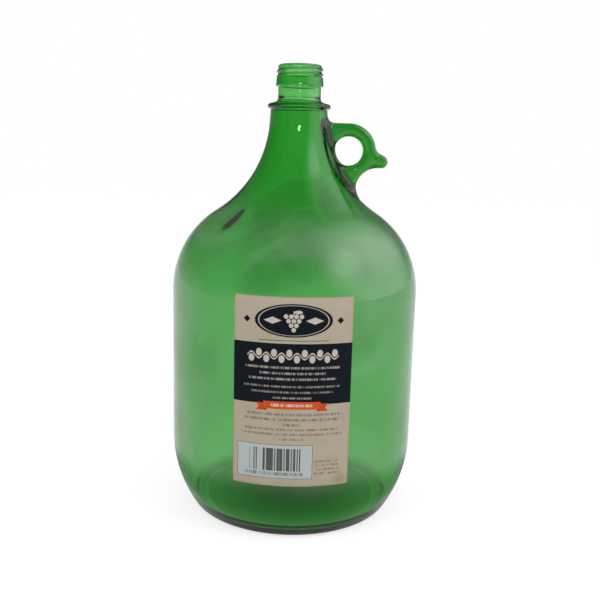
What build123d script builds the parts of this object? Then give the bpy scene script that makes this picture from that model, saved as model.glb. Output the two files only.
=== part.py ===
from build123d import *
import os
from math import acos, atan2, cos, degrees, hypot, radians, sin, sqrt, tan

# A five litre demijohn: one piece of blown green glass with a ring handle at its neck and a
# threaded mouth, and the paper label on its front. All lengths are millimetres, angles degrees.
# The origin is the middle of the plane that the jar stands on. +Z goes up the axis to the mouth,
# the handle points along +X, and the label faces -Y.

# Body
body_radius = 92.0
wall = 3.5
shoulder_start = 167.6
shoulder_radius = 69.2

# Heel and base
heel_radius = 96.5
foot_radius = 9.2
foot_inset = 22.8
foot_flat = 3.0
push_up_turn = 12.0
base_thickness = 6.5
floor_corner_radius = 12.0

# Neck, whose straight part ends in the collar
neck_radius = 20.8
neck_taper = 4.0
neck_straight = 9.9

# Collar, a round bead with a sloping shelf on top, counted up from the shoulder's highest point
collar_rise = 65.6
collar_radius = 23.15
collar_bead_radius = 1.9
shelf_slope = 17.0
shelf_fillet_radius = 3.0

# Finish, from the plain part above the collar to the lip
plain_radius = 15.65
plain_length = 8.4
bead_low_radius = 17.45
bead_top_radius = 16.9
bead_length = 5.8
bead_edge_radius = 0.3
core_radius = 15.9
core_length = 9.4
lip_radius = 1.7

# Thread, a right-hand ridge round the core that starts at the top of the bead
thread_pitch = 3.5
thread_ridge_radius = 1.2
thread_turns = 1.75
thread_start_angle = 135.0
thread_start_rise = 0.45

# Mouth
bore_radius = 12.8
bore_lip_radius = 1.3
bore_cone_length = 9.0

# Handle, a ring with a thumb nub and a web down to the shoulder
handle_drop = 31.1
handle_hole_radius = 10.6
handle_hole_gap = 0.9
handle_band = 9.5
handle_thickness = 12.0
handle_edge_radius = 4.2
nub_radius = 4.55
nub_reach = 25.8
nub_angle = -16.7
nub_blend_radius = 8.0
web_radius = 16.5
web_foot = 5.9
root_radius = 5.0

# Label
label_width = 81.4
label_height = 131.2
label_bottom = 46.0
label_thickness = 0.12
label_glue = 0.05


def at(center, radius, angle):
    """The point of a circle at an angle, counted from the outward direction."""
    return (center[0] + radius * cos(radians(angle)), center[1] + radius * sin(radians(angle)))


def arc(center, radius, start, end):
    """The arc of a circle from one angle to another."""
    middle = at(center, radius, (start + end) / 2)
    return ThreePointArc(at(center, radius, start), middle, at(center, radius, end))


def direction(start, end):
    """The angle of the way from one point to another."""
    return degrees(atan2(end[1] - start[1], end[0] - start[0]))


def circle_meet(center_a, radius_a, center_b, radius_b, side):
    """Where two circles meet, left (1) or right (-1) of the way from the first to the second."""
    apart = hypot(center_b[0] - center_a[0], center_b[1] - center_a[1])
    along = (radius_a**2 - radius_b**2 + apart**2) / (2 * apart)
    turn = side * degrees(acos(along / radius_a))
    return at(center_a, radius_a, direction(center_a, center_b) + turn)


def sweep_radius(low, taper, center, radius):
    """The radius of the arc that leaves a tapered line at its low end and touches a circle."""
    across = low[0] - center[0]
    up = low[1] - center[1]
    lean = across * cos(radians(taper)) + up * sin(radians(taper))
    return (across**2 + up**2 - radius**2) / (2 * (radius - lean))


# Heel, the foot with its narrow flat ring, and the shallow dome under the base
heel_turn = degrees(acos(1 - (foot_inset - foot_radius) / (heel_radius - foot_radius)))
heel_top = foot_radius + (heel_radius - foot_radius) * sin(radians(heel_turn))
heel_center = (body_radius - heel_radius, heel_top)
foot_center = (body_radius - foot_inset, foot_radius)
inner_foot_center = (foot_center[0] - foot_flat, foot_radius)
dome_edge = at(inner_foot_center, foot_radius, -90 - push_up_turn)
dome_radius = dome_edge[0] / sin(radians(push_up_turn))
dome_center = (0, dome_edge[1] - dome_radius * cos(radians(push_up_turn)))

# Shoulder and neck
collar_height = shoulder_start + shoulder_radius + collar_rise
neck_top = (neck_radius, collar_height - collar_bead_radius)
neck_low = (neck_radius + neck_straight * tan(radians(neck_taper)), neck_top[1] - neck_straight)
shoulder_center = (body_radius - shoulder_radius, shoulder_start)
neck_sweep_radius = sweep_radius(neck_low, neck_taper, shoulder_center, shoulder_radius)
neck_center = at(neck_low, neck_sweep_radius, neck_taper)
neck_slope = direction(shoulder_center, neck_center)

# Collar and finish
collar_center = (collar_radius - collar_bead_radius, collar_height)
shelf_edge = at(collar_center, collar_bead_radius, 90 - shelf_slope)
shelf_end_x = plain_radius + shelf_fillet_radius * (1 - sin(radians(shelf_slope)))
shelf_end_z = shelf_edge[1] + (shelf_edge[0] - shelf_end_x) * tan(radians(shelf_slope))
plain_bottom = shelf_end_z + shelf_fillet_radius * cos(radians(shelf_slope))
fillet_center = (plain_radius + shelf_fillet_radius, plain_bottom)
bead_bottom = plain_bottom + plain_length
bead_top = bead_bottom + bead_length
top = bead_top + core_length

# Handle
handle_z = collar_height - handle_drop
hole_reach = neck_sweep_radius - handle_hole_radius - handle_hole_gap
handle_x = neck_center[0] - sqrt(hole_reach**2 - (handle_z - neck_center[1]) ** 2)
handle_center = (handle_x, handle_z)
ring_radius = handle_hole_radius + handle_band
nub_center = at(handle_center, nub_reach, nub_angle)
web_center = (handle_x + web_foot + web_radius, nub_center[1] - nub_radius - web_radius)


def side(inset, start):
    """The jar's side from the heel to the neck's top, moved inwards by a distance."""
    heel = heel_radius - inset
    shoulder = shoulder_radius - inset
    neck = neck_sweep_radius + inset
    return [
        arc(heel_center, heel, start, 0),
        Line(at(heel_center, heel, 0), at(shoulder_center, shoulder, 0)),
        arc(shoulder_center, shoulder, 0, neck_slope),
        arc(neck_center, neck, 180 + neck_slope, 180 + neck_taper),
        Line(at(neck_center, neck, 180 + neck_taper), at(neck_top, inset, 180 + neck_taper)),
    ]


def collar_line():
    """The collar's bead, its shelf and the fillet up to the plain part."""
    return [
        Line(neck_top, at(collar_center, collar_bead_radius, -90)),
        arc(collar_center, collar_bead_radius, -90, 90 - shelf_slope),
        Line(shelf_edge, (shelf_end_x, shelf_end_z)),
        arc(fillet_center, shelf_fillet_radius, 270 - shelf_slope, 180),
    ]


def finish_line():
    """The plain part, the bead with its sharp lower step, the thread's core and the lip."""
    edge_center = (bead_low_radius - bead_edge_radius, bead_bottom + bead_edge_radius)
    lip_center = (core_radius - lip_radius, top - lip_radius)
    bead_round = bead_top_radius - core_radius
    return [
        Line((plain_radius, plain_bottom), (plain_radius, bead_bottom)),
        Line((plain_radius, bead_bottom), at(edge_center, bead_edge_radius, -90)),
        arc(edge_center, bead_edge_radius, -90, 0),
        Line(at(edge_center, bead_edge_radius, 0), (bead_top_radius, bead_top)),
        arc((core_radius, bead_top), bead_round, 0, 90),
        Line((core_radius, bead_top + bead_round), at(lip_center, lip_radius, 0)),
        arc(lip_center, lip_radius, 0, 90),
        Line(at(lip_center, lip_radius, 90), (0, top)),
    ]


def turned(line, low, high):
    """The solid of revolution of an outline that runs from the axis back to the axis."""
    outline = line + [Line((0, high), (0, low))]
    return revolve(Plane.YZ * make_face(outline), axis=Axis.Z)


def outer_form():
    """The jar's outside as a full solid, without its handle and thread."""
    dome_top = dome_center[1] + dome_radius
    base = [
        arc(dome_center, dome_radius, 90, 90 - push_up_turn),
        arc(inner_foot_center, foot_radius, -90 - push_up_turn, -90),
        Line(at(inner_foot_center, foot_radius, -90), at(foot_center, foot_radius, -90)),
        arc(foot_center, foot_radius, -90, -heel_turn),
    ]
    line = base + side(0, -heel_turn) + collar_line() + finish_line()
    return turned(line, dome_top, top)


def cavity():
    """The space inside, from the floor to above the mouth."""
    floor_radius = dome_radius + base_thickness
    inner_heel = heel_radius - wall
    corner = circle_meet(
        dome_center,
        floor_radius + floor_corner_radius,
        heel_center,
        inner_heel - floor_corner_radius,
        -1,
    )
    floor_turn = direction(dome_center, corner)
    heel_start = direction(heel_center, corner)
    neck_end = at(neck_top, wall, 180 + neck_taper)
    bore_bottom = (bore_radius, neck_end[1] + bore_cone_length)
    lip_center = (bore_radius + bore_lip_radius, top - bore_lip_radius)
    above = top + bore_lip_radius
    line = [
        arc(dome_center, floor_radius, 90, floor_turn),
        arc(corner, floor_corner_radius, floor_turn - 180, heel_start),
        *side(wall, heel_start),
        Line(neck_end, bore_bottom),
        Line(bore_bottom, at(lip_center, bore_lip_radius, 180)),
        arc(lip_center, bore_lip_radius, 180, 90),
        Line(at(lip_center, bore_lip_radius, 90), (lip_center[0], above)),
        Line((lip_center[0], above), (0, above)),
    ]
    return turned(line, dome_center[1] + floor_radius, above)


def thread():
    """The thread's ridge, a round bar along a helix on the core, with round ends."""
    helix = Helix(thread_pitch, thread_pitch * thread_turns, core_radius)
    path = Pos(0, 0, bead_top + thread_start_rise) * Rot(0, 0, thread_start_angle) * helix
    bar = sweep(Plane(origin=path @ 0, z_dir=path % 0) * Circle(thread_ridge_radius), path=path)
    ball = Sphere(thread_ridge_radius)
    return bar + Pos(path @ 0) * ball + Pos(path @ 1) * ball


def handle():
    """The handle as a plate with round edges, carried on inside the jar as far as the axis."""
    blend = circle_meet(
        handle_center,
        ring_radius + nub_blend_radius,
        nub_center,
        nub_radius + nub_blend_radius,
        1,
    )
    ring_end = direction(handle_center, blend)
    nub_start = direction(nub_center, blend)
    web_end = at(web_center, web_radius, 180)
    ring_top = at(handle_center, ring_radius, 90)
    outline = [
        Line((0, ring_top[1]), ring_top),
        arc(handle_center, ring_radius, 90, ring_end),
        arc(blend, nub_blend_radius, ring_end + 180, nub_start + 180),
        arc(nub_center, nub_radius, nub_start, -90),
        Line(at(nub_center, nub_radius, -90), at(web_center, web_radius, 90)),
        arc(web_center, web_radius, 90, 180),
        Line(web_end, (web_end[0], shoulder_start)),
        Line((web_end[0], shoulder_start), (0, shoulder_start)),
        Line((0, shoulder_start), (0, ring_top[1])),
    ]
    hole = Pos(*handle_center) * Circle(handle_hole_radius)
    plate = extrude(Plane.XZ * (make_face(outline) - hole), handle_thickness / 2, both=True)
    sides = plate.faces().filter_by(Axis.Y).edges()
    rims = sides.filter_by_position(Axis.X, 0, nub_center[0], (False, True))
    rims = rims.filter_by_position(Axis.Z, shoulder_start, top, (False, True))
    return fillet(rims, handle_edge_radius)


def glass_jar():
    """The whole jar: the outside with its handle blended in, the thread, less the space inside."""
    body = outer_form()
    grip = handle()
    joined = body + grip
    joined = fillet(new_edges(body, grip, combined=joined), root_radius)
    return joined + thread() - cavity()


def paper_label():
    """The label, a thin sheet that follows the glass under it, on the front."""
    inner = side(-label_glue, -heel_turn)
    outer = side(-label_glue - label_thickness, -heel_turn)
    ends = [Line(inner[0] @ 0, outer[0] @ 0), Line(inner[-1] @ 1, outer[-1] @ 1)]
    turn = degrees(label_width / body_radius)
    sheet = revolve(Plane.XZ * make_face(inner + outer + ends), Axis.Z, turn)
    span = 2 * (body_radius + label_glue + label_thickness) + 1
    slab = Pos(0, 0, label_bottom + label_height / 2) * Box(span, span, label_height)
    return Rot(0, 0, 270 - turn / 2) * sheet & slab


os.makedirs("parts", exist_ok=True)
export_step(glass_jar(), "parts/glass_jar.step")
export_step(paper_label(), "parts/paper_label.step")
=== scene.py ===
# %% [markdown]
# # A green glass demijohn
# A demijohn is a big jar of blown glass for wine and cider. This one holds five litres, has a
# ring handle at its neck, a screw thread round its mouth and a paper label on its front.
# The script dresses the solids that come from the CAD. It starts by loading them, because they
# say where everything is: metres, the jar's axis on Z, its foot on the plane z = 0, the handle
# towards +X and the label towards -Y.

# %% Load the frame
import math

import bmesh
import bpy
import numpy as np
from mathutils import Matrix, Vector


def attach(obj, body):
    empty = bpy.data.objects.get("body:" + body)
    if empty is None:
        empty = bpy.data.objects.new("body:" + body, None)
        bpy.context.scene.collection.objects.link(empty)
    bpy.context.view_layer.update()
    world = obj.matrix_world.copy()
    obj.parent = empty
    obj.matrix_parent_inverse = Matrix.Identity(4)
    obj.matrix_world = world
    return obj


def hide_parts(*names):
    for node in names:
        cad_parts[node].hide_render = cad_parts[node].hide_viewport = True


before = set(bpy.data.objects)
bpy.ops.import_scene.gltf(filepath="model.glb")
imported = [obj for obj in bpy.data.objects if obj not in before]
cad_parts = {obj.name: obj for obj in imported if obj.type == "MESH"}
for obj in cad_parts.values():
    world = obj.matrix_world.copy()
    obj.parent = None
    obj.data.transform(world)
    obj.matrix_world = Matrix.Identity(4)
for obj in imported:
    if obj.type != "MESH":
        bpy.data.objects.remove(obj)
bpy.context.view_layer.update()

# %% [markdown]
# ## Sizes
# The jar's outline is a chain of arcs and straight lines that touch. Its numbers are the ones
# the CAD part was drawn with, written here in millimetres and turned into metres once.

# %% Sizes
MM = 0.001

body_radius = 92.0 * MM
wall = 3.5 * MM
shoulder_start = 167.6 * MM
shoulder_radius = 69.2 * MM
heel_radius = 96.5 * MM
foot_radius = 9.2 * MM
foot_inset = 22.8 * MM
foot_flat = 3.0 * MM
push_up_turn = math.radians(12)
base_thickness = 6.5 * MM
floor_corner = 12.0 * MM
neck_radius = 20.8 * MM
neck_taper = math.radians(4)
neck_straight = 9.9 * MM
collar_height = 302.4 * MM
collar_radius = 23.15 * MM
collar_bead = 1.9 * MM
shelf_slope = math.radians(17)
shelf_fillet = 3.0 * MM
plain_radius = 15.65 * MM
plain_length = 8.4 * MM
bead_low = 17.45 * MM
bead_high = 16.9 * MM
bead_length = 5.8 * MM
bead_edge = 0.3 * MM
core_radius = 15.9 * MM
core_length = 9.4 * MM
lip_radius = 1.7 * MM
bore_radius = 12.8 * MM
bore_lip = 1.3 * MM
bore_cone = 9.0 * MM

# %% [markdown]
# ## The outline
# An outline is a list of (distance from the axis, height) points. One helper samples an arc and
# one a straight line, both at a chosen spacing, so the curved finish gets many points and the
# straight wall few. Heights that touch an arc are worked out from the arcs, not typed in.

# %% Arcs and lines
def on_circle(center, radius, angle):
    """The point c + r (cos a, sin a)."""
    return np.array([center[0] + radius * math.cos(angle), center[1] + radius * math.sin(angle)])


def arc(center, radius, start, end, spacing):
    """Points c + r (cos a, sin a) for a from start to end, about one spacing apart."""
    count = max(2, int(abs(end - start) * radius / spacing) + 1)
    angle = np.linspace(start, end, count + 1)
    return np.column_stack([center[0] + radius * np.cos(angle), center[1] + radius * np.sin(angle)])


def line(start, end, spacing):
    """Points (1 - t) a + t b for t from 0 to 1, about one spacing apart."""
    start, end = np.asarray(start, float), np.asarray(end, float)
    count = max(1, int(np.linalg.norm(end - start) / spacing) + 1)
    share = np.linspace(0, 1, count + 1)[:, None]
    return (1 - share) * start + share * end


def chained(parts):
    """One outline from parts that meet, without the points that they share."""
    points = np.concatenate(parts)
    step = np.linalg.norm(np.diff(points, axis=0), axis=1)
    return points[np.concatenate([[True], step > 0.01 * MM])]


def circle_meet(center_a, radius_a, center_b, radius_b, side):
    """Where two circles meet, from the cosine rule, left (1) or right (-1) of the way a to b."""
    way = np.subtract(center_b, center_a)
    apart = np.linalg.norm(way)
    turn = math.acos((radius_a**2 - radius_b**2 + apart**2) / (2 * radius_a * apart))
    return on_circle(center_a, radius_a, math.atan2(way[1], way[0]) + side * turn)


# %% Centres of the arcs
heel_turn = math.acos(1 - (foot_inset - foot_radius) / (heel_radius - foot_radius))
heel_top = foot_radius + (heel_radius - foot_radius) * math.sin(heel_turn)
heel_center = (body_radius - heel_radius, heel_top)
foot_center = (body_radius - foot_inset, foot_radius)
inner_foot_center = (foot_center[0] - foot_flat, foot_radius)
dome_edge = on_circle(inner_foot_center, foot_radius, -math.pi / 2 - push_up_turn)
dome_radius = dome_edge[0] / math.sin(push_up_turn)
dome_center = (0.0, dome_edge[1] - dome_radius * math.cos(push_up_turn))

shoulder_center = (body_radius - shoulder_radius, shoulder_start)
neck_top = (neck_radius, collar_height - collar_bead)
neck_low = (neck_radius + neck_straight * math.tan(neck_taper), neck_top[1] - neck_straight)
across, up = np.subtract(neck_low, shoulder_center)
lean = across * math.cos(neck_taper) + up * math.sin(neck_taper)
sweep_radius = (across**2 + up**2 - shoulder_radius**2) / (2 * (shoulder_radius - lean))
sweep_center = on_circle(neck_low, sweep_radius, neck_taper)
sweep_turn = math.atan2(sweep_center[1] - shoulder_center[1], sweep_center[0] - shoulder_center[0])

collar_center = (collar_radius - collar_bead, collar_height)
shelf_edge = on_circle(collar_center, collar_bead, math.pi / 2 - shelf_slope)
shelf_end_x = plain_radius + shelf_fillet * (1 - math.sin(shelf_slope))
shelf_end = (shelf_end_x, shelf_edge[1] + (shelf_edge[0] - shelf_end_x) * math.tan(shelf_slope))
plain_bottom = shelf_end[1] + shelf_fillet * math.cos(shelf_slope)
bead_bottom = plain_bottom + plain_length
bead_top = bead_bottom + bead_length
top = bead_top + core_length
print("sweep radius %.2f mm, top %.2f mm" % (sweep_radius / MM, top / MM))


# %% The two outlines
def side(inset, start, coarse, fine):
    """The side moved inwards by an inset: heel, wall, shoulder, sweep and taper."""
    heel, shoulder, sweep = heel_radius - inset, shoulder_radius - inset, sweep_radius + inset
    neck_start = on_circle(sweep_center, sweep, math.pi + neck_taper)
    middle = math.radians(32)
    return [
        arc(heel_center, heel, start, 0, coarse),
        line(on_circle(heel_center, heel, 0), on_circle(shoulder_center, shoulder, 0), 2 * coarse),
        arc(shoulder_center, shoulder, 0, middle, coarse),
        arc(shoulder_center, shoulder, middle, sweep_turn, fine),
        arc(sweep_center, sweep, math.pi + sweep_turn, math.pi + neck_taper, fine),
        line(neck_start, on_circle(neck_top, inset, math.pi + neck_taper), fine),
    ]


def outer_outline():
    """From the middle of the dome under the base to the flat of the lip."""
    right_angle = math.pi / 2
    fillet_center = (plain_radius + shelf_fillet, plain_bottom)
    edge_center = (bead_low - bead_edge, bead_bottom + bead_edge)
    bead_round = bead_high - core_radius
    lip_center = (core_radius - lip_radius, top - lip_radius)
    return chained([
        arc(dome_center, dome_radius, right_angle, right_angle - push_up_turn, 3.5 * MM),
        arc(inner_foot_center, foot_radius, -right_angle - push_up_turn, -right_angle, 0.7 * MM),
        line((inner_foot_center[0], 0), (foot_center[0], 0), 3 * MM),
        arc(foot_center, foot_radius, -right_angle, -heel_turn, 0.8 * MM),
        *side(0, -heel_turn, 2.6 * MM, 1.15 * MM),
        line(neck_top, on_circle(collar_center, collar_bead, -right_angle), 0.25 * MM),
        arc(collar_center, collar_bead, -right_angle, right_angle - shelf_slope, 0.32 * MM),
        line(shelf_edge, shelf_end, 0.8 * MM),
        arc(fillet_center, shelf_fillet, 1.5 * math.pi - shelf_slope, math.pi, 0.4 * MM),
        line((plain_radius, plain_bottom), (plain_radius, bead_bottom), 1.4 * MM),
        line((plain_radius, bead_bottom), (edge_center[0], bead_bottom), 0.6 * MM),
        arc(edge_center, bead_edge, -right_angle, 0, 0.12 * MM),
        line((bead_low, edge_center[1]), (bead_high, bead_top), 1.2 * MM),
        arc((core_radius, bead_top), bead_round, 0, right_angle, 0.25 * MM),
        line((core_radius, bead_top + bead_round), (core_radius, lip_center[1]), 0.3 * MM),
        arc(lip_center, lip_radius, 0, right_angle, 0.3 * MM),
        line((lip_center[0], top), (bore_radius + bore_lip, top), 0.2 * MM),
    ])


def inner_outline():
    """From the flat of the lip down the bore, the neck and the wall to the middle of the floor."""
    right_angle = math.pi / 2
    floor_radius = dome_radius + base_thickness
    inner_heel = heel_radius - wall
    corner = circle_meet(
        dome_center, floor_radius + floor_corner, heel_center, inner_heel - floor_corner, -1
    )
    floor_turn = math.atan2(corner[1] - dome_center[1], corner[0] - dome_center[0])
    heel_start = math.atan2(corner[1] - heel_center[1], corner[0] - heel_center[0])
    neck_end = on_circle(neck_top, wall, math.pi + neck_taper)
    bore_bottom = (bore_radius, neck_end[1] + bore_cone)
    lip_center = (bore_radius + bore_lip, top - bore_lip)
    upwards = chained([
        arc(dome_center, floor_radius, right_angle, floor_turn, 3.5 * MM),
        arc(corner, floor_corner, floor_turn - math.pi, heel_start, 1.6 * MM),
        *side(wall, heel_start, 3.4 * MM, 2.2 * MM),
        line(neck_end, bore_bottom, 1.1 * MM),
        line(bore_bottom, (bore_radius, lip_center[1]), 1.6 * MM),
        arc(lip_center, bore_lip, math.pi, right_angle, 0.3 * MM),
    ])
    return upwards[::-1]


outer = outer_outline()
inner = inner_outline()
print("outline points", len(outer), "outside and", len(inner), "inside")

# %% [markdown]
# ## Turning an outline into glass
# A surface of revolution is a grid in two parameters: the row is the point of the outline and
# the column the angle round the axis, so x = r cos(a), y = r sin(a). The rows at the axis are
# single points, the poles, joined by a fan of triangles so that the skin has no hole.
# Blown glass is never even. The outside was pressed into a mould and is smooth, but the inside
# wall drifts in thickness, so a few slow waves are added to the inner radius.

# %% Grids
COLUMNS = 192
angles = np.arange(COLUMNS) * (2 * math.pi / COLUMNS)


def smooth_step(low, high, value):
    """t^2 (3 - 2 t) with t = (value - low) / (high - low) kept between 0 and 1."""
    share = np.clip((value - low) / (high - low), 0, 1)
    return share * share * (3 - 2 * share)


def turned_skin(radius, height, start_pole=None, end_pole=None):
    """Vertices and faces of r(i, j) (cos a_j, sin a_j), z(i, j), with a point at either end."""
    rows = radius.shape[0]
    points = np.stack([radius * np.cos(angles), radius * np.sin(angles), height], -1).reshape(-1, 3)
    i, j = np.meshgrid(np.arange(rows - 1), np.arange(COLUMNS), indexing="ij")
    k = (j + 1) % COLUMNS
    low, high = i * COLUMNS, (i + 1) * COLUMNS
    quads = np.stack([low + j, low + k, high + k, high + j], -1).reshape(-1, 4).tolist()
    around = np.arange(COLUMNS)
    ahead = (around + 1) % COLUMNS
    for pole, row in ((start_pole, 0), (end_pole, rows - 1)):
        if pole is not None:
            tip = np.full(COLUMNS, len(points))
            points = np.concatenate([points, [[0, 0, pole]]])
            first, second = (ahead, around) if row == 0 else (around, ahead)
            quads += np.stack([row * COLUMNS + first, row * COLUMNS + second, tip], -1).tolist()
    return points, quads


def mesh_object(name, points, faces):
    """A new object at the origin with this mesh, shaded smooth."""
    mesh = bpy.data.meshes.new(name)
    mesh.from_pydata(np.asarray(points).tolist(), [], faces)
    mesh.update()
    mesh.shade_smooth()
    thing = bpy.data.objects.new(name, mesh)
    bpy.context.scene.collection.objects.link(thing)
    return thing


# %% [markdown]
# ## The screw thread
# The thread is a rounded ridge that climbs round the mouth. It lies on the same grid: each point
# of the core is pushed out by a bump of its distance d to the helix, h cos^2(pi d / 2 w) inside
# the half width w. At the helix's two ends the distance also counts the way round, so the
# ridge ends in a rounded nose.

# %% Thread
thread_pitch = 3.5 * MM
thread_height = 1.15 * MM
thread_half_width = 1.5 * MM
thread_turns = 1.75
thread_start = math.radians(135)
thread_low = bead_top + 0.45 * MM


def thread_push(height):
    """How far the ridge pushes out a point at a height and angle a: the nearest turn counts."""
    push = np.zeros((len(height), COLUMNS))
    for lap in range(-1, 3):
        turn = (angles - thread_start) % (2 * math.pi) + lap * 2 * math.pi
        held = np.clip(turn, 0, thread_turns * 2 * math.pi)
        rise = height[:, None] - (thread_low + held / (2 * math.pi) * thread_pitch)
        gone = np.hypot(rise, (turn - held) * core_radius)
        bump = np.cos(math.pi / 2 * np.minimum(gone / thread_half_width, 1)) ** 2
        push = np.maximum(push, thread_height * bump)
    return push


outer_radius = np.repeat(outer[:, :1], COLUMNS, 1)
outer_height = np.repeat(outer[:, 1:], COLUMNS, 1)
on_core = (outer[:, 1] > bead_top - 1 * MM) & (outer[:, 0] > core_radius - 0.6 * lip_radius)
ridge = thread_push(outer[:, 1]) * on_core[:, None]
ridge_radius = core_radius + ridge - np.maximum(core_radius - outer_radius, 0)
ridge_radius = np.maximum(outer_radius, ridge_radius)
outer_radius = np.where(on_core[:, None], ridge_radius, outer_radius)
print("thread ridge up to %.2f mm from the axis" % (outer_radius[on_core].max() / MM))

# %% [markdown]
# ## The handle's shape as a distance
# The handle is a flat ring with rounded edges, a thumb nub and a web down to the shoulder, and
# glass fills the corner where it meets the neck. Such a soft shape is easiest to say as a
# distance: a function that is negative inside the glass, zero on its skin and positive outside.
# Two shapes join with a fillet of radius r where r is larger than both distances a and b:
# max(r, min(a, b)) - |(max(r - a, 0), max(r - b, 0))|.

# %% Handle sizes
handle_drop = 31.1 * MM
hole_radius = 10.6 * MM
hole_gap = 0.9 * MM
ring_radius = hole_radius + 9.5 * MM
handle_half = 6.0 * MM
handle_edge = 4.2 * MM
nub_radius = 4.55 * MM
nub_reach = 25.8 * MM
nub_blend = 8.0 * MM
web_radius = 16.5 * MM
web_foot = 5.9 * MM
root_radius = 5.0 * MM
handle_depth = 12.0 * MM

handle_z = collar_height - handle_drop
hole_reach = sweep_radius - hole_radius - hole_gap
handle_x = sweep_center[0] - math.sqrt(hole_reach**2 - (handle_z - sweep_center[1]) ** 2)
nub_center = on_circle((handle_x, handle_z), nub_reach, math.radians(-16.7))


# %% Distances
def round_union(a, b, radius):
    """Distance to two shapes joined with a fillet, by the formula above."""
    fillet = np.hypot(np.maximum(radius - a, 0), np.maximum(radius - b, 0))
    return np.maximum(radius, np.minimum(a, b)) - fillet


def quadrant(x, z):
    """Distance to the quarter plane x < 0, z < 0."""
    return np.hypot(np.maximum(x, 0), np.maximum(z, 0)) + np.minimum(np.maximum(x, z), 0)


def jar_distance(points):
    """Distance to the jar's skin between its shoulder and collar: arc out, arc in, then a taper."""
    across = np.hypot(points[:, 0], points[:, 1])
    height = points[:, 2]
    x, z = across - shoulder_center[0], height - shoulder_center[1]
    shoulder = np.hypot(x, z) - shoulder_radius
    over_shoulder = math.cos(sweep_turn) * z - math.sin(sweep_turn) * x > 0
    x, z = across - sweep_center[0], height - sweep_center[1]
    sweep = sweep_radius - np.hypot(x, z)
    taper = (across - neck_top[0]) * math.cos(neck_taper)
    taper = taper + (height - neck_top[1]) * math.sin(neck_taper)
    over_sweep = math.cos(neck_taper) * z - math.sin(neck_taper) * x > 0
    return np.where(over_shoulder, np.where(over_sweep, taper, sweep), shoulder)


def handle_side_distance(x, z):
    """Distance in the handle's own plane: ring and nub, the web under them, less the hole."""
    from_hole = np.hypot(x - handle_x, z - handle_z)
    from_nub = np.hypot(x - nub_center[0], z - nub_center[1]) - nub_radius
    head = round_union(from_hole - ring_radius, from_nub, nub_blend)
    head = np.minimum(head, quadrant(x - handle_x, z - handle_z - ring_radius))
    head = np.minimum(head, quadrant(x - nub_center[0], z - nub_center[1]))
    under = nub_center[1] - nub_radius - z
    web = round_union(x - handle_x - web_foot, under, web_radius)
    return np.maximum(np.maximum(head, web), hole_radius - from_hole)


def handle_distance(points):
    """Distance to the plate: its side distance and |y|, joined round an edge of radius e."""
    x, y, z = points.T
    flat = np.column_stack([x, np.zeros_like(x), z])
    across = np.maximum(handle_side_distance(x, z), -handle_depth - jar_distance(flat))
    across = across + handle_edge
    deep = np.abs(y) - (handle_half - handle_edge)
    outside = np.hypot(np.maximum(across, 0), np.maximum(deep, 0))
    return outside + np.minimum(np.maximum(across, deep), 0) - handle_edge


def joined_distance(points):
    """Distance to jar and handle together, with the glass that fills the root."""
    return round_union(jar_distance(points), handle_distance(points), root_radius)


def gradient(distance, points):
    """Which way a distance grows, from differences of +-0.01 mm along x, y and z."""
    step = 0.01 * MM
    parts = []
    for axis in np.eye(3):
        parts.append((distance(points + step * axis) - distance(points - step * axis)) / (2 * step))
    return np.column_stack(parts)


def settled(distance, points, rounds=6):
    """Points moved onto the skin by Newton's rule p - d g / |g|^2."""
    for _ in range(rounds):
        slope = gradient(distance, points)
        size = np.maximum((slope**2).sum(1), 0.05)
        points = points - (distance(points) / size)[:, None] * slope
    return points


# %% [markdown]
# ## The handle's mesh
# Seen from the middle of its hole the handle's outline is met once in every direction, so a
# bisection along each ray finds it. The section across the handle is then a rounded oblong
# between the hole's rim and that outline: a closed grid, like a doughnut's. Newton's rule moves
# its points onto the exact skin.

# %% Handle
STATIONS = 216
FLAT_POINTS = 20
END_POINTS = 9


def outline_reach(turn):
    """How far the outline is along each ray from the hole's middle, by halving an interval."""
    low = np.full(len(turn), hole_radius + 0.5 * MM)
    high = np.full(len(turn), 70 * MM)
    for _ in range(30):
        middle = (low + high) / 2
        x, z = handle_x + middle * np.cos(turn), handle_z + middle * np.sin(turn)
        flat = np.column_stack([x, np.zeros_like(x), z])
        inside = np.maximum(handle_side_distance(x, z), -handle_depth - jar_distance(flat)) < 0
        low, high = np.where(inside, middle, low), np.where(inside, high, middle)
    return low


def handle_grid():
    """Points of the doughnut-like grid: station u round the hole, v round the section."""
    turn = np.arange(STATIONS) * (2 * math.pi / STATIONS)
    reach = outline_reach(turn)
    flat = np.linspace(-1, 1, FLAT_POINTS)
    bend = np.linspace(0, math.pi, END_POINTS + 2)[1:-1]
    along = np.concatenate([flat, 1 + 0 * bend, -flat, -1 + 0 * bend])
    out = np.concatenate([0 * flat, np.sin(bend), 0 * flat, -np.sin(bend)])
    deep = np.concatenate([1 + 0 * flat, np.cos(bend), -1 + 0 * flat, -np.cos(bend)])
    middle = (reach + hole_radius)[:, None] / 2
    half = (reach - hole_radius)[:, None] / 2
    corner = np.minimum(handle_edge, 0.9 * half)
    distance = middle + (half - corner) * along + corner * out
    y = handle_half * deep
    x = handle_x + distance * np.cos(turn)[:, None]
    z = handle_z + distance * np.sin(turn)[:, None]
    points = np.stack([x, np.broadcast_to(y, x.shape), z], -1).reshape(-1, 3)
    return settled(handle_distance, points), x.shape


def closed_faces(rows, columns):
    """Quads of a grid that closes on itself both ways."""
    i, j = np.meshgrid(np.arange(rows), np.arange(columns), indexing="ij")
    i2, j2 = (i + 1) % rows, (j + 1) % columns
    quads = np.stack([i * columns + j, i * columns + j2, i2 * columns + j2, i2 * columns + j], -1)
    return quads.reshape(-1, 4).tolist()


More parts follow.
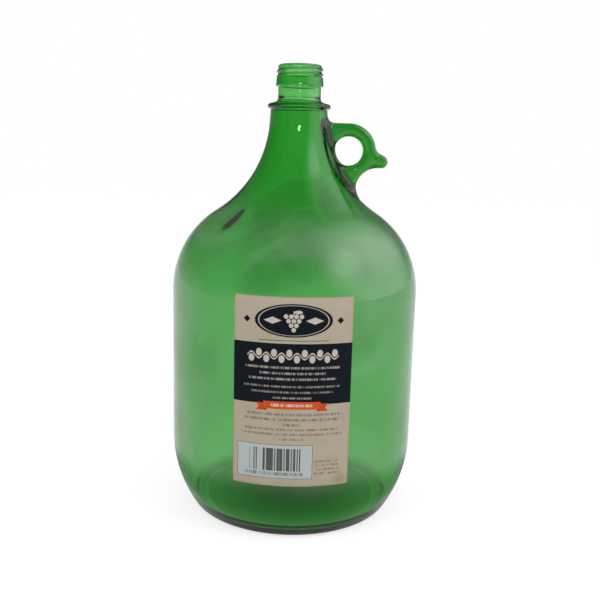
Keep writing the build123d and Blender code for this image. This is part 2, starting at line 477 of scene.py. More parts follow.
handle_points, handle_shape = handle_grid()
handle_error = np.abs(handle_distance(handle_points)).max() / MM
print("handle grid", handle_shape, "worst distance %.4f mm" % handle_error)

# %% [markdown]
# ## One piece of glass
# Jar and handle are one moulding, so their skins have to be one. A boolean union cuts both at
# the line where they cross. The points near that line are then moved out onto the joined
# distance, which lays the fillet of glass into the root, and the inner skin is added at the
# lip. Light bends by the direction of the skin, so near the root the normals come from the
# distance's gradient too, not from the small triangles that the cut leaves.


# %% Union
def oriented(thing):
    """Faces turned to point outwards."""
    work = bmesh.new()
    work.from_mesh(thing.data)
    bmesh.ops.recalc_face_normals(work, faces=work.faces)
    work.to_mesh(thing.data)
    work.free()


outer_points, outer_faces = turned_skin(outer_radius, outer_height, outer[0, 1], top)
glass_jar = mesh_object("demijohn_glass", outer_points, outer_faces)
handle = mesh_object("handle_form", handle_points, closed_faces(*handle_shape))
oriented(glass_jar)
oriented(handle)
cut = glass_jar.modifiers.new("handle", "BOOLEAN")
cut.operation, cut.solver, cut.object = "UNION", "EXACT", handle
graph = bpy.context.evaluated_depsgraph_get()
joined = bpy.data.meshes.new_from_object(glass_jar.evaluated_get(graph))
glass_jar.modifiers.clear()
glass_jar.data = joined
bpy.data.objects.remove(handle)
print("joined skin", len(joined.vertices), "points")


# %% Fillet
def read(items, name, kind, width):
    """An attribute of many items as an array, one row for each."""
    values = np.empty(len(items) * width, kind)
    items.foreach_get(name, values)
    return values.reshape(-1, width)


def mesh_points(mesh):
    """The mesh's vertices as rows of x, y, z."""
    return read(mesh.vertices, "co", np.float32, 3).astype(float)


def on_handle_side(points):
    """True on the handle's side of the jar, between the shoulder and the collar."""
    height = points[:, 2]
    return (points[:, 0] > 0) & (height > shoulder_start) & (height < collar_height - 3 * MM)


def root_zone(points, reach):
    """True for points that lie nearer than a distance to both jar and handle."""
    near = np.maximum(jar_distance(points), handle_distance(points)) < reach
    return near & on_handle_side(points)


def clean_root(mesh):
    """Merges the cut's crowded points near the root and splits its many-sided faces."""
    work = bmesh.new()
    work.from_mesh(mesh)
    near = root_zone(np.array([v.co for v in work.verts]), root_radius)
    crowded = [v for v, is_near in zip(work.verts, near) if is_near]
    bmesh.ops.remove_doubles(work, verts=crowded, dist=0.3 * MM)
    uneven = [f for f in work.faces if len(f.verts) > 4]
    bmesh.ops.triangulate(work, faces=uneven, ngon_method="BEAUTY")
    work.to_mesh(mesh)
    work.free()


def neighbour_mean(points, edges):
    """The mean of each point's neighbours."""
    total, count = np.zeros_like(points), np.zeros(len(points))
    for a, b in ((edges[:, 0], edges[:, 1]), (edges[:, 1], edges[:, 0])):
        np.add.at(total, a, points[b])
        np.add.at(count, a, 1)
    return total / np.maximum(count, 1)[:, None]


def lay_fillet(mesh):
    """Moves the root's points onto the joined distance, evening them out between the moves."""
    points = mesh_points(mesh)
    edges = read(mesh.edges, "vertices", np.int32, 2)
    zone = np.flatnonzero(root_zone(points, root_radius * 1.05))
    points[zone] = settled(joined_distance, points[zone])
    for _ in range(12):
        points[zone] = (points[zone] + neighbour_mean(points, edges)[zone]) / 2
        points[zone] = settled(joined_distance, points[zone], 2)
    mesh.vertices.foreach_set("co", points.astype(np.float32).ravel())
    mesh.update()
    return len(zone)


clean_root(glass_jar.data)
print("fillet laid with", lay_fillet(glass_jar.data), "points")

# %% [markdown]
# ## The inside wall
# The inner skin follows the outer one at the wall's thickness. Where the glass is a little
# thicker the green is deeper and what lies behind shifts, which is what makes blown glass look
# alive. The waves are sums of cosines with whole numbers of turns round the jar, so they close.
# Where soft glass gathered it is thicker: a round push inwards, h exp(-d^2 / s^2). The spots in
# front lie where the photograph is darker.

# %% Inner skin
WAVE_SEED, WAVE_PUSH, WAVE_RISE, WAVE_TWIST = 7, 0.16 * MM, 60 * MM, 0.8
WAVE_LOBES, WAVE_SWINGS = (1, 2, 3, 4, 5, 7), (0.6, 1.3, 2.1)
BODY_START, BODY_END = (20 * MM, 60 * MM), (230 * MM, 285 * MM)
NECK_START, NECK_END, NECK_PUSH = (185 * MM, 235 * MM), (298 * MM, 309 * MM), 1.3 * MM
GATHERS = (  # degrees round from the label, height, push and spread in millimetres
    (6, 207, 3.2, 15), (-15, 190, 2.4, 13), (30, 234, 3.0, 11), (33, 193, 2.2, 7),
    (-49, 221, 3.4, 6), (140, 120, 1.8, 17), (200, 203, 2.4, 14), (-120, 95, 1.8, 15),
)


def between(start, end, height):
    """1 between two heights, rising smoothly over the start and falling over the end."""
    return (smooth_step(*start, height) * (1 - smooth_step(*end, height)))[:, None]


def wall_drift(height):
    """Inward push of the inner wall: slow waves and round thick spots, faded at both ends."""
    waves = np.random.default_rng(WAVE_SEED)
    z = (height / WAVE_RISE)[:, None]
    drift = np.zeros((len(height), COLUMNS))
    for lobes in WAVE_LOBES:
        for swing in WAVE_SWINGS:
            phase, lift = waves.uniform(0, 2 * math.pi, 2)
            size = WAVE_PUSH / (1 + 0.35 * lobes + 0.5 * swing)
            round_wave = np.cos(lobes * angles + phase + WAVE_TWIST * z)
            drift += size * round_wave * np.cos(swing * z * math.pi + lift)
    for turn, level, push, spread in GATHERS:
        round_way = (angles - math.radians(turn - 90) + math.pi) % (2 * math.pi) - math.pi
        away = np.hypot(round_way * shoulder_radius, height[:, None] - level * MM)
        drift += push * MM * np.exp(-((away / (spread * MM)) ** 2))
    thick_neck = NECK_PUSH * between(NECK_START, NECK_END, height)
    return drift * between(BODY_START, BODY_END, height) + thick_neck


inner_radius = np.repeat(inner[:, :1], COLUMNS, 1) - wall_drift(inner[:, 1])
inner_height = np.repeat(inner[:, 1:], COLUMNS, 1)
inner_radius[-1] = 0
inner_points, inner_faces = turned_skin(inner_radius[:-1], inner_height[:-1], None, inner[-1, 1])


def add_inner_skin(mesh):
    """Opens the outer skin inside the lip, adds the inner one and merges the ring they share."""
    work = bmesh.new()
    work.from_mesh(mesh)
    level = [v for v in work.verts if abs(v.co.z - top) < 1e-6]
    lid = [v for v in level if math.hypot(v.co.x, v.co.y) < bore_radius]
    bmesh.ops.delete(work, geom=lid, context="VERTS")
    added = [work.verts.new(p) for p in inner_points]
    for face in inner_faces:
        work.faces.new([added[i] for i in face])
    ring = [v for v in work.verts if abs(v.co.z - top) < 1e-5]
    bmesh.ops.remove_doubles(work, verts=ring, dist=0.02 * MM)
    bmesh.ops.recalc_face_normals(work, faces=work.faces)
    open_edges = sum(not e.is_manifold for e in work.edges)
    triangles = sum(len(f.verts) - 2 for f in work.faces)
    work.to_mesh(mesh)
    work.free()
    return open_edges, triangles


print("open edges, triangles:", add_inner_skin(glass_jar.data))


# %% Normals
def set_normals(mesh):
    """Smooth normals from the faces, and near the handle from the joined distance's gradient."""
    mesh.shade_smooth()
    points = mesh_points(mesh)
    normals = read(mesh.vertex_normals, "vector", np.float32, 3).astype(float)
    on_skin = np.abs(joined_distance(points)) < 0.03 * MM
    near = on_skin & (handle_distance(points) < root_radius * 1.2) & on_handle_side(points)
    slope = gradient(joined_distance, points[near])
    normals[near] = slope / np.linalg.norm(slope, axis=1)[:, None]
    mesh.normals_split_custom_set_from_vertices(normals.tolist())
    return int(near.sum())


print("normals from the distance:", set_normals(glass_jar.data))

# %% [markdown]
# ## Shader maths
# A material is written as Python expressions. A small class wraps a socket, so that a + b adds
# a Math node, and one method makes every other node.


# %% Shader maths
def maths(operation):
    """A method that adds one Math node to a value."""
    return lambda value, *others: value.tree.node(
        "Math", dict(enumerate((value, *others))), operation=operation
    )


class Value:
    """A number that a node puts out. Its operators add Math nodes."""

    def __init__(self, tree, socket):
        self.tree, self.socket = tree, socket

    __add__ = __radd__ = maths("ADD")
    __mul__ = __rmul__ = maths("MULTIPLY")
    __sub__, __truediv__ = maths("SUBTRACT"), maths("DIVIDE")
    smaller, larger = maths("MINIMUM"), maths("MAXIMUM")
    absolute, floor, root, sine = maths("ABSOLUTE"), maths("FLOOR"), maths("SQRT"), maths("SINE")

    def __rsub__(self, other):
        return self * -1 + other

    def output(self, name):
        """Another output of the same node."""
        return Value(self.tree, self.socket.node.outputs[name])

    def below(self, limit, softness):
        """1 well below the limit and 0 above it, with a soft edge."""
        ends = {"Value": self, "From Min": limit - softness, "From Max": limit + softness}
        ends |= {"To Min": 1.0, "To Max": 0.0}
        return self.tree.node("MapRange", ends, interpolation_type="SMOOTHSTEP")


class Tree:
    """A material's or world's nodes."""

    def __init__(self, owner):
        owner.use_nodes = True
        self.nodes, self.links = owner.node_tree.nodes, owner.node_tree.links
        self.nodes.clear()

    def node(self, kind, inputs, output=0, **settings):
        """Makes a node, sets its settings, then gives each input its value or link."""
        made = self.nodes.new("ShaderNode" + kind)
        for name, setting in settings.items():
            setattr(made, name, setting)
        for name, given in inputs.items():
            socket = made.inputs[name]
            if isinstance(given, Value):
                self.links.new(given.socket, socket)
            else:
                socket.default_value = given
        return Value(self, made.outputs[output]) if made.outputs else None

    def noise(self, vector, scale, detail, twist=0.0):
        """Cloudy values round 0.5, about as many to a unit as the scale says."""
        inputs = {"Vector": vector, "Scale": scale, "Detail": detail, "Distortion": twist}
        return self.node("TexNoise", inputs)

    def mix(self, share, first, second):
        """first (1 - share) + second share, for colours."""
        inputs = {0: share, 6: first, 7: second}
        return self.node("Mix", inputs, output=2, data_type="RGBA")

    def parts(self, vector):
        """The x, y and z of a vector."""
        x = self.node("SeparateXYZ", {"Vector": vector})
        return x, x.output("Y"), x.output("Z")

    def rays(self):
        """1 for a ray of the camera, for a mirrored or bent one, and for a bent one."""
        path = self.node("LightPath", {})
        return path, path.output("Is Glossy Ray"), path.output("Is Transmission Ray")


def length(x, y):
    """sqrt(x^2 + y^2)."""
    return (x * x + y * y).root()


def srgb(red, green, blue):
    """A screen colour of 0 to 255 as linear light: ((c + 0.055) / 1.055)^2.4 above the toe."""
    shares = np.array([red, green, blue]) / 255
    linear = np.where(shares > 0.04045, ((shares + 0.055) / 1.055) ** 2.4, shares / 12.92)
    return (*linear.tolist(), 1.0)


# %% [markdown]
# ## Green glass
# The glass is clear at its skin: all its green is taken up along the way through it, so a thin
# wall is pale and the thick base and handle are deep. Volume Absorption does that by
# exp(-(1 - colour) density distance). Faint ripples from the mould go in as a bump.
# Handled glass also wears a bloom of dust, seen as pale veils. Scattering in the volume would be
# slow, so a mask mixes a little white Diffuse into the skin: a weak smear with two clouds in it,
# which leaves neck and base clear.

# %% Glass material
GLASS_TINT, GLASS_DENSITY, GLASS_INDEX = (0.133, 0.72, 0.144, 1), 450.0, 1.52
RIPPLE_SCALE, RIPPLE_STRENGTH, RIPPLE_DEPTH = 26.0, 0.12, 2 * MM

glass = bpy.data.materials.new("green_glass")
tree = Tree(glass)
place = tree.node("TexCoord", {}, output="Object")
ripple = tree.noise(place, RIPPLE_SCALE, 1.0)
ripple = {"Height": ripple, "Strength": RIPPLE_STRENGTH, "Distance": RIPPLE_DEPTH}
clear = {
    "Base Color": (1, 1, 1, 1),
    "Roughness": 0.0,
    "IOR": GLASS_INDEX,
    "Transmission Weight": 1.0,
    "Normal": tree.node("Bump", ripple),
}
skin = tree.node("BsdfPrincipled", clear)
inside = tree.node("VolumeAbsorption", {"Color": GLASS_TINT, "Density": GLASS_DENSITY})

# %% Bloom
BLOOM_LEAST, BLOOM_SMEAR = 0.035, 0.08
SMEAR_NOISE, SMEAR_LIMIT = (17.0, 2.0, 0.6), (0.56, 0.12)
CLOUDS = (  # place, size and strength
    ((0.060, -0.058, 0.206), 0.062, 0.13),
    ((-0.080, -0.046, 0.080), 0.060, 0.06),
)
BLOOM_TOP, BLOOM_FOOT = (228 * MM, 22 * MM), (45 * MM, 20 * MM)
DUST_WHITE = (0.8, 0.82, 0.8, 1)


def cloud(center, size):
    """1 at a place on the jar, fading to 0 at a distance from it."""
    away = tree.node("VectorMath", {0: place, 1: center}, "Value", operation="DISTANCE")
    return (away / size).below(0.5, 0.5)


height = tree.parts(place)[2]
smear = tree.noise(place, *SMEAR_NOISE)
bloom = BLOOM_LEAST + BLOOM_SMEAR * (1 - smear.below(*SMEAR_LIMIT))
for center, size, strength in CLOUDS:
    bloom = bloom + strength * cloud(center, size)
bloom = bloom * height.below(*BLOOM_TOP) * (1 - height.below(*BLOOM_FOOT))
dust = tree.node("BsdfDiffuse", {"Color": DUST_WHITE})
surface = tree.node("MixShader", {0: bloom, 1: skin, 2: dust})
tree.node("OutputMaterial", {"Surface": surface, "Volume": inside})
glass_jar.data.materials.clear()
glass_jar.data.materials.append(glass)
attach(glass_jar, "root")
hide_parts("glass_jar")
print("glass material", len(tree.nodes), "nodes")

# %% [markdown]
# ## The label
# A paper label is a thin sheet that bends one way only. Its grid follows the glass's outline
# up the jar and an arc round it. A picture could be laid on it, but drawn shapes stay sharp, so
# the sheet gets a UV map that counts tenths of a metre from the paper's lower left corner. The
# paper's back shows through the jar, so its points all lie on one blank place of the map.

# %% Label sheet
label_width = 81.4 * MM
label_height = 131.2 * MM
label_bottom = 46.0 * MM
label_glue = 0.05 * MM
label_thickness = 0.12 * MM
LABEL_ACROSS, LABEL_UP = 96, 90
PRINT_UNIT = 100.0
BLANK_PLACE = (0.04, 1.08)


def glass_radius(height):
    """The outside radius: the smaller of x + sqrt(r^2 - d^2) on heel and shoulder."""
    drop, rise = np.maximum(heel_top - height, 0), np.maximum(height - shoulder_start, 0)
    heel = heel_center[0] + np.sqrt(heel_radius**2 - drop**2)
    shoulder = shoulder_center[0] + np.sqrt(shoulder_radius**2 - rise**2)
    return np.minimum(heel, shoulder)


def label_sheet():
    """Front and back grids of r(z) (sin a, -cos a), z, closed round their rim."""
    share = np.linspace(0, 1, LABEL_ACROSS + 1)
    turn = (share - 0.5) * label_width / body_radius
    z = label_bottom + label_height * np.linspace(0, 1, LABEL_UP + 1)
    lift = np.array([label_glue + label_thickness, label_glue])[:, None, None]
    radius = glass_radius(z)[:, None] + lift + 0 * turn
    level = z[:, None] + 0 * radius
    points = np.stack([radius * np.sin(turn), -radius * np.cos(turn), level], -1)
    columns = LABEL_ACROSS + 1
    index = np.arange((LABEL_UP + 1) * columns).reshape(LABEL_UP + 1, columns)
    front = np.stack([index[:-1, :-1], index[:-1, 1:], index[1:, 1:], index[1:, :-1]], -1)
    front = front.reshape(-1, 4)
    back = front[:, ::-1] + index.size
    rim = np.concatenate([index[0, :-1], index[:-1, -1], index[-1, :0:-1], index[:0:-1, 0]])
    ahead = np.roll(rim, -1)
    sides = np.stack([rim, rim + index.size, ahead + index.size, ahead], -1)
    return points.reshape(-1, 3), front.tolist() + back.tolist() + sides.tolist()


def map_paper(mesh, points):
    """Lays the UV map: u = arc from the left edge, v = height from the lower edge."""
    arc_length = np.arctan2(points[:, 0], -points[:, 1]) * body_radius + label_width / 2
    uv = np.column_stack([arc_length, points[:, 2] - label_bottom]) / MM / PRINT_UNIT
    uv[len(points) // 2 :] = BLANK_PLACE
    corner_vertex = read(mesh.loops, "vertex_index", np.int32, 1)[:, 0]
    layer = mesh.uv_layers.new(name="paper")
    layer.data.foreach_set("uv", uv[corner_vertex].astype(np.float32).ravel())


label_points, label_faces = label_sheet()
label = mesh_object("paper_label_sheet", label_points, label_faces)
oriented(label)
label.data.shade_flat()
map_paper(label.data, label_points)
print("label sheet", len(label_points), "points,", len(label_faces), "faces")

# %% [markdown]
# ## The print
# The print is flat ink: an oval emblem, a dark band with a vine, a ribbon, a pale panel with
# bars, and rows of small type. Each is a mask, 1 inside a shape and 0 outside, worked out from
# the distance to the shape's edge in millimetres. The layers go over each other as inks do. Type
# is broken strips and the bars are random, so the label says and names nothing.

# %% Print shapes
paper = bpy.data.materials.new("label_paper")
tree = Tree(paper)
uv = tree.node("UVMap", {}, uv_map="paper")
u, v = (part * PRINT_UNIT for part in tree.parts(uv)[:2])
MIDDLE = label_width / MM / 2
EDGE, CRISP, SOFT = 0.1, 0.01, 0.06
from_middle = (u - MIDDLE).absolute()


def box_mask(left, right, low, high, inset=0.0):
    """1 inside a rectangle: both |u - middle| and |v - middle| are under their half sizes."""
    across = (u - (left + right) / 2).absolute() - (right - left) / 2
    along = (v - (low + high) / 2).absolute() - (high - low) / 2
    return across.larger(along).below(-inset, EDGE)


def oval_distance(center_u, center_v, half_u, half_v):
    """|(u / a, v / b)| about a centre: 1 on the oval's edge."""
    return length((u - center_u) / half_u, (v - center_v) / half_v)


def diamond(across, center_v, half_u, half_v):
    """1 where |x| / a + |y| / b is under 1."""
    return (across.absolute() / half_u + (v - center_v).absolute() / half_v).below(1.0, SOFT)


def cell_noise(**cell):
    """One random number to each whole number of x, y and z."""
    cell = tree.node("CombineXYZ", cell)
    return tree.node("TexWhiteNoise", {"Vector": cell}, noise_dimensions="3D")


# %% Type
STROKE_WIDTH, STROKES_PALE, STROKE_FADE = 0.62, (0.36, 0.05), 0.75
WORD_RATE, WORD_ROW_STEP, WORD_GAP = 0.42, 5.3, (0.025, 0.008)


def type_rows(first, pitch, height, half_widths, center):
    """Rows of type: a strip for each half width, broken into strokes and into words."""
    rows_down = (first - v) / pitch
    row = rows_down.floor()
    strip = (rows_down - row - 0.5).absolute().below(height / pitch / 2, 0.08)
    wide = None
    for number, half_width in enumerate(half_widths):
        this_row = (row - number).absolute().below(0.5, CRISP)
        here = this_row * ((u - center).absolute() - half_width).below(0.0, EDGE)
        wide = here if wide is None else wide.larger(here)
    strokes = cell_noise(X=(u / STROKE_WIDTH).floor(), Y=row, Z=first)
    strokes = 1 - STROKE_FADE * strokes.below(*STROKES_PALE)
    spot = {"X": u * WORD_RATE, "Y": row * WORD_ROW_STEP + first}
    words = tree.noise(tree.node("CombineXYZ", spot), 1.0, 0.0)
    gaps = (words - 0.5).absolute().below(*WORD_GAP)
    return strip * wide * strokes * (1 - gaps)


# %% Grapes, vine and ribbon
def grapes(center_u, top_v, berry):
    """A bunch: rows of discs, one fewer in each row down, with a stalk and a leaf on top."""
    bunch = None
    pitch = 2.3 * berry
    for row, count in enumerate((4, 3, 2, 1)):
        shift = (u - center_u) / pitch + count / 2
        cell = shift.floor().larger(0.0).smaller(count - 1.0)
        disc = length((shift - cell - 0.5) * pitch, v - (top_v - row * 2 * berry))
        disc = disc.below(berry, 0.08)
        bunch = disc if bunch is None else bunch.larger(disc)
    stalk = box_mask(center_u - 0.35, center_u + 0.35, top_v + 0.5, top_v + 3.6)
    leaf = oval_distance(center_u + 3.0, top_v + 2.9, 2.7, 1.2).below(1.0, 0.08)
    return bunch.larger(stalk).larger(leaf)


VINE_SWING, VINE_STEM, VINE_REACH = 2.0, 0.5, 31.0
LEAF_WIDE, LEAF_TALL = 2.0, 2.6


def vine(middle_v, period):
    """A wavy stem with an oval leaf in each bend, on alternate sides."""
    wave = (u * (2 * math.pi / period)).sine()
    stem = (wave * VINE_SWING + middle_v - v).absolute().below(VINE_STEM, EDGE)
    step = u / (period / 2)
    bend = step.floor()
    x = (step - bend - 0.5) * (period / 2)
    half_turn = bend / 2
    upper = (half_turn - half_turn.floor()).below(0.25, CRISP)
    y = v - middle_v - VINE_SWING + upper * (2 * VINE_SWING)
    leaf = length(x / LEAF_WIDE, y / LEAF_TALL).below(1.0, SOFT)
    return stem.larger(leaf) * from_middle.below(VINE_REACH, EDGE)


RIBBON_FACE = (21.5, 60.0, 55.0, 60.3)
TAIL_MIDDLE, TAIL_HALF, TAIL_ROOT, TAIL_TIP, TAIL_NOTCH = 56.4, 2.6, 17.0, 22.4, 0.8
FOLD_LOW, FOLD_MIDDLE, FOLD_HALF, FOLD_SLOPE = 53.8, 54.4, 0.6, 1.8


def ribbon():
    """Notched tails, the face in front of them, and the folds between, in painting order."""
    side = (u - sum(RIBBON_FACE[:2]) / 2).absolute()
    drop = (v - TAIL_MIDDLE).absolute()
    outer_part = 1 - (side - TAIL_ROOT).below(0.0, EDGE)
    tail = (side - drop * TAIL_NOTCH - TAIL_TIP).below(0.0, EDGE)
    tail = tail * drop.below(TAIL_HALF, EDGE) * outer_part
    fold = (side - TAIL_ROOT - (v - FOLD_LOW) * FOLD_SLOPE).below(0.0, EDGE) * outer_part
    fold = fold * (v - FOLD_MIDDLE).absolute().below(FOLD_HALF, EDGE)
    return tail, box_mask(*RIBBON_FACE), fold


# %% Paper
CREAM, AGED = srgb(198, 185, 165), srgb(176, 139, 104)
NAVY, PALE_INK, INK = srgb(9, 18, 30), srgb(214, 205, 190), srgb(88, 80, 72)
ORANGE, DEEP_ORANGE, RUST = srgb(222, 92, 48), srgb(214, 82, 40), srgb(150, 52, 26)
RIBBON_INK, PANEL_WHITE, BAR_INK = srgb(240, 225, 205), srgb(198, 208, 206), srgb(52, 50, 40)
MOTTLE_SCALE, FIBRE_SCALE = 7.0, 190.0
AGED_RIM, AGE_LEAST, AGE_MOTTLE = 0.9, 0.1, 0.5
BLOTCH, BLOTCH_STRENGTH = (0.42, 0.12), 0.16
STAIN_U, STAIN_V, STAIN_SIZE, STAIN_STRENGTH = 75.0, 4.0, 5.0, 0.55

middle_v = label_height / MM / 2
from_rim = (MIDDLE - from_middle).smaller(middle_v - (v - middle_v).absolute())
mottle = tree.noise(uv, MOTTLE_SCALE, 4.0)
fibre = tree.noise(uv, FIBRE_SCALE, 2.0)
age = from_rim.below(AGED_RIM, AGED_RIM) * (AGE_LEAST + AGE_MOTTLE * mottle)
stain = (v - STAIN_V).absolute() + (u - STAIN_U).absolute() - STAIN_SIZE
stain = stain.below(0.0, STAIN_SIZE) * STAIN_STRENGTH
blotch = mottle.below(*BLOTCH) * BLOTCH_STRENGTH
color = tree.mix(age.larger(stain).larger(blotch), CREAM, AGED)

# %% Emblem
EMBLEM_V, EMBLEM_WIDE, EMBLEM_TALL = 115.6, 26.0, 11.2
INNER_LINE, LINE_HALF = 0.9, 0.014
BERRY, GRAPES_TOP = 1.5, 118.4
SPRAY_U, SPRAY_WIDE, KNOB_U, KNOB_WIDE, ORNAMENT_TALL = 14.0, 6.0, 31.5, 2.4, 2.4
RULE = (17, 64.4, 101.9, 102.3)

plaque = oval_distance(MIDDLE, EMBLEM_V, EMBLEM_WIDE, EMBLEM_TALL)
layers = [
    (plaque.below(1.0, CRISP), NAVY),
    ((plaque - INNER_LINE).absolute().below(LINE_HALF, 0.008), PALE_INK),
    (grapes(MIDDLE, GRAPES_TOP, BERRY), PALE_INK),
    (diamond(from_middle - SPRAY_U, EMBLEM_V, SPRAY_WIDE, ORNAMENT_TALL), PALE_INK),
    (diamond(from_middle - KNOB_U, EMBLEM_V, KNOB_WIDE, ORNAMENT_TALL), NAVY),
    (box_mask(*RULE), NAVY),
]

# %% Band, ribbon and panel
BAND_V, BAND_HALF = 79.3, 20.8
VINE_V, VINE_PERIOD = 91.6, 10.2
PANEL, PANEL_LINE = (3.6, 55.6, 5.6, 29.8), 0.3
BARS, BAR_WIDTH, BAR_SHARE, BAR_STRENGTH = (12.5, 47.3, 11.2, 27.2), 0.8, 0.52, 0.85

bars = cell_noise(X=(u / BAR_WIDTH).floor()).below(BAR_SHARE, 0.02) * box_mask(*BARS)
layers += [
    ((v - BAND_V).absolute().below(BAND_HALF, EDGE), NAVY),
    (vine(VINE_V, VINE_PERIOD), PALE_INK),
    *zip(ribbon(), (DEEP_ORANGE, ORANGE, RUST)),
    (box_mask(*PANEL), INK),
    (box_mask(*PANEL, PANEL_LINE), PANEL_WHITE),
    (bars * BAR_STRENGTH, BAR_INK),
]

# %% Rows of type
TYPE = (  # top, pitch, height, half widths, middle, strength, ink
    (85.6, 3.9, 1.5, (32.0, 22.3, 29.6), MIDDLE, 0.6, PALE_INK),
    (72.6, 3.9, 1.3, (33.0, 27.7, 13.0), MIDDLE, 0.48, PALE_INK),
    (59.2, 3.0, 1.9, (14.0,), MIDDLE, 0.8, RIBBON_INK),
    (53.0, 3.6, 1.8, (33.5, 33.0, 6.0), MIDDLE, 0.6, INK),
    (42.3, 3.4, 1.5, (33.0, 35.0, 8.0), MIDDLE, 0.55, INK),
    (19.5, 2.9, 1.5, (9.6, 8.4, 8.8, 9.4), 66.0, 0.5, INK),
    (10.6, 3.2, 2.4, (20.0,), 29.0, 0.6, INK),
)
layers += [(type_rows(*rows) * strength, dye) for *rows, strength, dye in TYPE]

# %% Paper's finish
PAPER_ROUGHNESS, PAPER_SHEEN = 0.72, 0.15
WEAR, WEAR_STRENGTH = (0.36, 0.05), 0.06
GRAIN_STRENGTH, GRAIN_DEPTH = 0.25, 0.3 * MM

layers.append((fibre.below(*WEAR) * WEAR_STRENGTH, CREAM))
for mask, dye in layers:
    color = tree.mix(mask, color, dye)
grain = {"Height": fibre, "Strength": GRAIN_STRENGTH, "Distance": GRAIN_DEPTH}
finish = {
    "Base Color": color,
    "Roughness": PAPER_ROUGHNESS,
    "Specular IOR Level": PAPER_SHEEN,
    "Normal": tree.node("Bump", grain),
}
sheet = tree.node("BsdfPrincipled", finish)
tree.node("OutputMaterial", {"Surface": sheet})
label.data.materials.append(paper)
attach(label, "root")
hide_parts("paper_label")
print("label material", len(tree.nodes), "nodes")

# %% [markdown]
# ## Floor, light and background
# The camera has to see plain white all round, but glass in a plain white room has no form: it
# needs something to mirror and to bend. The Light Path node says what kind of ray is asking, so
# each kind is told another brightness. Camera rays see white and diffuse rays a soft grey.
# Mirror rays see a dim room, pale low down, with a bright window and a lamp on the right, and
# rays that went through glass see the window in a paler room. Is Glossy Ray is true for those
# too, so a mirror ray is a glossy ray that isn't a transmission ray.
# The floor carries painted shadow: to mirror rays it is darker near the foot, and under the jar,
# which the base hides, it glows less.

# %% Floor
FLOOR_REACH = 4.0
FLOOR_GREY = (0.5, 0.5, 0.5, 1)
# Painted shadow: to mirror rays the floor near the foot is darkened, a little less right at the
# foot.
MIRRORED_SHADOW, MIRRORED_SHADOW_REACH = 0.7, (150 * MM, 30 * MM)
SHADOW_EASE_AT_FOOT, SHADOW_EASE_REACH = 0.3, (90 * MM, 12 * MM)
# Painted shadow: the floor's glow is taken away in a disc under the jar.
UNDER_SHADOW, UNDER_SHADOW_REACH = 0.7, (44 * MM, 26 * MM)
GLOW, CAMERA_GLOW = 0.6, 0.1

corners = np.array([(-1, -1, 0), (1, -1, 0), (1, 1, 0), (-1, 1, 0)]) * FLOOR_REACH
floor = mesh_object("floor", corners, [[0, 1, 2, 3]])
white = bpy.data.materials.new("white_floor")
tree = Tree(white)
camera_ray, glossy_ray, bent_ray = tree.rays()
x, y, _ = tree.parts(tree.node("TexCoord", {}, output="Object"))
reach = length(x, y)
# Painted shadow round the foot, for mirror rays only: it darkens the floor's grey and takes away
# its glow.
painted_shadow = MIRRORED_SHADOW * reach.below(*MIRRORED_SHADOW_REACH) - SHADOW_EASE_AT_FOOT * reach.below(*SHADOW_EASE_REACH)
painted_shadow = glossy_ray * (1 - bent_ray) * painted_shadow
# Painted shadow under the jar: less glow where the base stands over the floor.
under = UNDER_SHADOW * reach.below(*UNDER_SHADOW_REACH)
seen = camera_ray.larger(glossy_ray).larger(bent_ray)
shade = tree.mix(painted_shadow, FLOOR_GREY, (0, 0, 0, 1))
matt = tree.node("BsdfDiffuse", {"Color": shade})
glow = seen * (1 - painted_shadow) * (1 - under) * (GLOW + CAMERA_GLOW * camera_ray)
glow = tree.node("Emission", {"Color": (1, 1, 1, 1), "Strength": glow})
tree.node("OutputMaterial", {"Surface": tree.node("AddShader", {0: matt, 1: glow})})
floor.data.materials.append(white)
print("floor", 2 * FLOOR_REACH, "m across")

# %% World
WINDOW = (0.88, -0.05, 0.47, 0.75, 0.2)
SIDE_LAMP = (0.65, -0.42, 0.63, 0.965, 0.03)
ROOM_GREY, MIRROR_HORIZON, BENT_HORIZON = 0.6, (0.05, 0.15), (0.5, 0.3)
MIRROR_HIGH, MIRROR_LOW, MIRROR_WINDOW, MIRROR_LAMP = 0.12, 0.6, 1.4, 1.2
BENT_HIGH, BENT_LOW, BENT_WINDOW = 0.4, 0.6, 1.1

world = bpy.data.worlds.new("white_room")
bpy.context.scene.world = world
tree = Tree(world)
camera_ray, glossy_ray, bent_ray = tree.rays()
right, back, up = tree.parts(tree.node("TexCoord", {}, output="Generated"))


def towards(x, y, z, limit, softness):
    """1 towards a direction, 0 away from it: the cosine between them is above a limit."""
    cosine = right * x + back * y + up * z
    return 1 - cosine.below(limit, softness)


window = towards(*WINDOW)
reflected = MIRROR_HIGH + MIRROR_LOW * up.below(*MIRROR_HORIZON) + MIRROR_WINDOW * window
reflected = reflected + MIRROR_LAMP * towards(*SIDE_LAMP)
refracted = BENT_HIGH + BENT_LOW * up.below(*BENT_HORIZON) + BENT_WINDOW * window
room = ROOM_GREY + (reflected - ROOM_GREY) * glossy_ray
room = room + (refracted - room) * bent_ray
room = room + (1 - room) * camera_ray
light = tree.node("Background", {"Color": (1, 1, 1, 1), "Strength": room})
tree.node("OutputWorld", {"Surface": light})
print("world", len(tree.nodes), "nodes")

# %% [markdown]
# ## Lamps
# Two soft lamps light the label and the bloom. Their square faces would show in the glass, so
# they are hidden from mirror and transmission rays. A small lamp that looks upwards stays
# visible and makes the long light on the neck.

# %% Lamps
BODY_AIM = (0, 0, 0.15)
LAMPS = (  # name, place, aim, width, height, watts, mirrored in the glass
    ("neck_lamp", (0.012, -0.45, 0.405), (0.012, 0.02, 1.288), 0.07, 0.13, 0.9, True),
    ("right_softbox", (1.05, -0.6, 0.95), BODY_AIM, 0.8, 0.8, 6.5, False),
    ("left_softbox", (-1.0, -0.8, 0.9), BODY_AIM, 0.8, 0.8, 5.0, False),
)


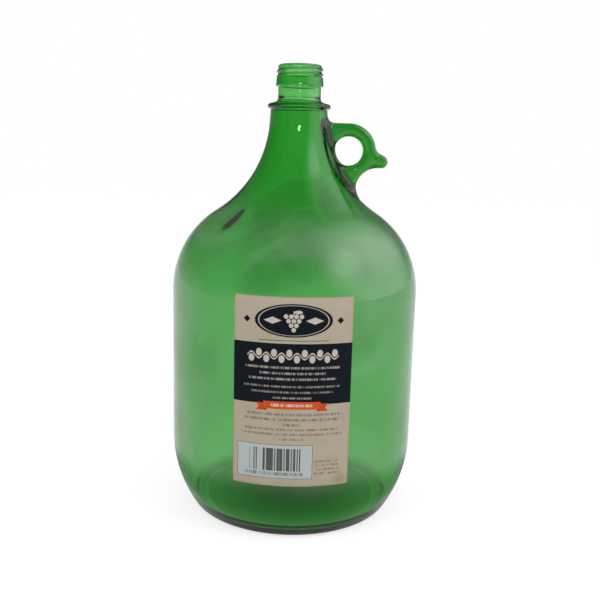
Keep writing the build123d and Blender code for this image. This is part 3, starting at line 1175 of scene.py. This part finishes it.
def softbox(name, stand, aim, width, height, power, mirrored):
    """A rectangular lamp at a place, turned to face a point."""
    data = bpy.data.lights.new(name, "AREA")
    data.shape, data.size, data.size_y, data.energy = "RECTANGLE", width, height, power
    lamp = bpy.data.objects.new(name, data)
    lamp.location = stand
    lamp.rotation_euler = (Vector(aim) - Vector(stand)).to_track_quat("-Z", "Y").to_euler()
    lamp.visible_glossy = lamp.visible_transmission = mirrored
    bpy.context.scene.collection.objects.link(lamp)


for lamp in LAMPS:
    softbox(*lamp)
print("lamps", [lamp[0] for lamp in LAMPS])

# %% [markdown]
# ## The camera
# The place, tilt and focal length of the camera were worked out from the photograph: the edges
# of the label are circles and straight lines on the jar, and the jar's side is straight.

# %% Camera
SENSOR_WIDTH, IMAGE_PIXELS, FOCAL_PIXELS = 36.0, 600, 792.6
CAMERA_BACK, CAMERA_HIGH = 6.5 * body_radius, 2.959 * body_radius
PITCH, YAW, ROLL = math.radians(10.81), math.radians(0.41), math.radians(1.5)

level = Vector((math.cos(YAW), -math.sin(YAW), 0))
ahead = Vector((math.sin(YAW), math.cos(YAW), 0))
forward = ahead * math.cos(PITCH) - Vector((0, 0, math.sin(PITCH)))
upright = level.cross(forward)
camera_x = math.cos(ROLL) * level + math.sin(ROLL) * upright
camera_y = -math.sin(ROLL) * level + math.cos(ROLL) * upright
turn = Matrix((camera_x, camera_y, -forward)).transposed().to_4x4()

camera_data = bpy.data.cameras.new("photo_camera")
camera_data.sensor_width = SENSOR_WIDTH
camera_data.lens = SENSOR_WIDTH * FOCAL_PIXELS / IMAGE_PIXELS
camera = bpy.data.objects.new("photo_camera", camera_data)
camera.matrix_world = Matrix.Translation((0, -CAMERA_BACK, CAMERA_HIGH)) @ turn
bpy.context.scene.collection.objects.link(camera)
bpy.context.scene.camera = camera
bpy.context.scene.view_settings.view_transform = "Standard"
print("camera %.3f m back and %.3f m high" % (CAMERA_BACK, CAMERA_HIGH))

# %% [markdown]
# ## The last update
# The dressed jar fills the same box as the CAD solids. The scene is brought up to date at the end.

# %% The last update
bpy.context.view_layer.update()
